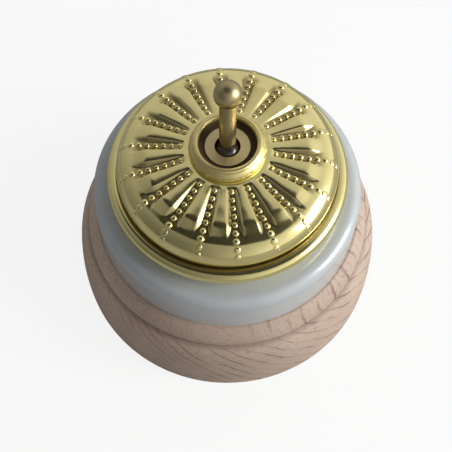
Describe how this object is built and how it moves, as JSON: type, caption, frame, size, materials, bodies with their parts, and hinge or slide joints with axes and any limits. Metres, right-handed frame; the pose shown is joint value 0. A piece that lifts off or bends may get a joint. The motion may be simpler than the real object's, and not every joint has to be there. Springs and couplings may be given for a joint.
{
  "type": "dolly light switch",
  "caption": "Round dolly light switch: turned wood pattress, glazed porcelain base, pressed brass cover with radial stud rows, ball-ended toggle lever that tips between two rest positions.",
  "frame": {"origin": "centre of the round wall face of the wood pattress", "axes": "+Z out of the wall, +Y up the wall, towards which the lever leans in the picture, +X to the right"},
  "size_m": [0.0894, 0.0894, 0.0772],
  "materials": {
    "beech": "bare, lightly sanded",
    "white_porcelain": "gloss glaze",
    "polished_brass": "polished",
    "satin_brass": "satin",
    "aged_brass": "polished, a little darkened",
    "dark_hub": "gloss",
    "contact_brass": "plain",
    "steel": "zinc plated",
    "spring_steel": "bright wire",
    "fibre": "matt",
    "liner_card": "varnished pressboard"
  },
  "bodies": {
    "base": {"wood_pattress": "beech", "porcelain_base": "white_porcelain", "brass_cover": "polished_brass", "cover_liner": "liner_card", "ring_nut": "polished_brass", "dolly_bush": "satin_brass", "bush_locknut": "steel", "dolly_pin": "steel", "bridge_strap": "steel", "bridge_screws": "steel", "bridge_nuts": "steel", "earth_washer": "steel", "earth_screw": "steel", "base_screws": "steel", "rocker_bracket": "contact_brass", "rocker_pin": "steel", "way_contact_upper": "contact_brass", "way_contact_lower": "contact_brass", "fixed_contacts": "contact_brass", "terminal_upper": "contact_brass", "terminal_lower": "contact_brass", "terminal_common": "contact_brass", "terminal_screws": "contact_brass", "block_screws": "contact_brass"},
    "dolly": {"dolly_lever": "aged_brass", "dolly_hub": "dark_hub", "toggle_spring": "spring_steel"},
    "plunger": {"spring_plunger": "contact_brass"},
    "rocker": {"rocker_saddle": "fibre", "contact_blade": "contact_brass", "moving_contacts": "contact_brass"}
  },
  "joints": [
    {"name": "dolly_tilt", "type": "hinge", "parent": "base", "child": "dolly", "pos_m": [0, 0, 0.05625], "axis": [1, 0, 0], "range_deg": [0, 32]},
    {"name": "plunger_slide", "type": "slide", "parent": "dolly", "child": "plunger", "axis": [0, 0.2756, 0.9613], "range_m": [0, 0.0008], "stiffness_N_per_m": 2000, "springref_m": -0.0005, "deforming": ["toggle_spring"]},
    {"name": "rocker_tilt", "type": "hinge", "parent": "base", "child": "rocker", "pos_m": [0, 0, 0.04054], "axis": [1, 0, 0], "range_deg": [-16, 0]}
  ],
  "couplings": [
    {"joint": "rocker_tilt", "follows": "dolly_tilt", "ratio": -0.5}
  ]
}
